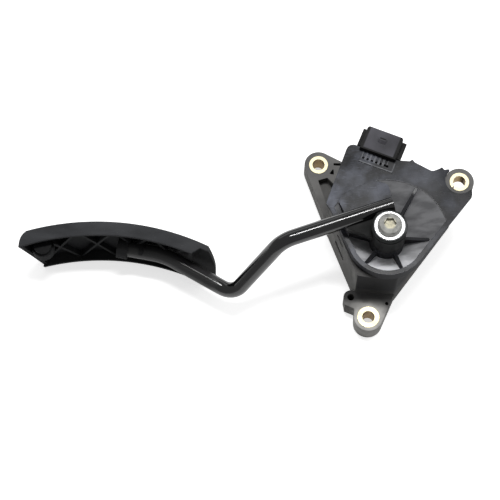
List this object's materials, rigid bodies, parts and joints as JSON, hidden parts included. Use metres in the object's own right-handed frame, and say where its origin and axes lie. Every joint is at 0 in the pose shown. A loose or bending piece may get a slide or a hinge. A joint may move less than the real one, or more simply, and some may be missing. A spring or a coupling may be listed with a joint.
{
  "type": "accelerator pedal",
  "caption": "Car accelerator pedal: moulded sensor housing with mounting ears, sprung pivot, cranked steel arm and a curved ribbed pad.",
  "frame": {"origin": "where the pivot axis meets the mounting plane, on the flat boss under the pivot", "axes": "+Z along the pivot axis from the mounting face up through the hub, +X away from the pad, +Y towards the connector"},
  "size_m": [0.2559, 0.1104, 0.0656],
  "materials": {
    "base_plastic": "matte",
    "cover_plastic": "satin",
    "connector_plastic": "satin",
    "pad_plastic": "matte",
    "black_coat": "gloss",
    "sleeve_zinc": "satin",
    "bright_zinc": "satin",
    "plain_steel": "satin",
    "spring_steel": "satin",
    "bearing_bronze": "satin",
    "terminal_tin": "satin",
    "magnet_grey": "satin",
    "black_rubber": "matte",
    "friction_lining": "matte",
    "rotor_plastic": "matte",
    "board_laminate": "satin",
    "chip_resin": "matte"
  },
  "bodies": {
    "housing": {"base_housing": "base_plastic", "cover": "cover_plastic", "connector_housing": "connector_plastic", "terminal_1": "terminal_tin", "terminal_2": "terminal_tin", "terminal_3": "terminal_tin", "terminal_4": "terminal_tin", "terminal_5": "terminal_tin", "terminal_6": "terminal_tin", "sleeve_left": "sleeve_zinc", "sleeve_lower": "sleeve_zinc", "sleeve_right": "sleeve_zinc", "circuit_board": "board_laminate", "sensor_chips": "chip_resin", "upper_bush": "bearing_bronze", "lower_bush": "bearing_bronze", "shaft_seal": "black_rubber", "friction_ring": "friction_lining", "thrust_washer": "plain_steel", "outer_return_spring": "spring_steel", "inner_return_spring": "spring_steel", "idle_stop_buffer": "black_rubber", "full_stop_buffer": "black_rubber"},
    "arm": {"pivot_shaft": "plain_steel", "rotor_drum": "rotor_plastic", "sensor_magnets": "magnet_grey", "lever_hub": "black_coat", "lever_bracket": "black_coat", "lever_rod": "black_coat", "hub_collar": "bright_zinc", "hub_screw": "plain_steel", "pedal_pad": "pad_plastic"}
  },
  "joints": [
    {"name": "pedal_pivot", "type": "hinge", "parent": "housing", "child": "arm", "pos_m": [0, 0, 0.04], "axis": [0, 0, 1], "range_deg": [0, 18], "stiffness_Nm_per_rad": 6, "springref_deg": -17.19, "deforming": ["outer_return_spring", "inner_return_spring"]}
  ]
}
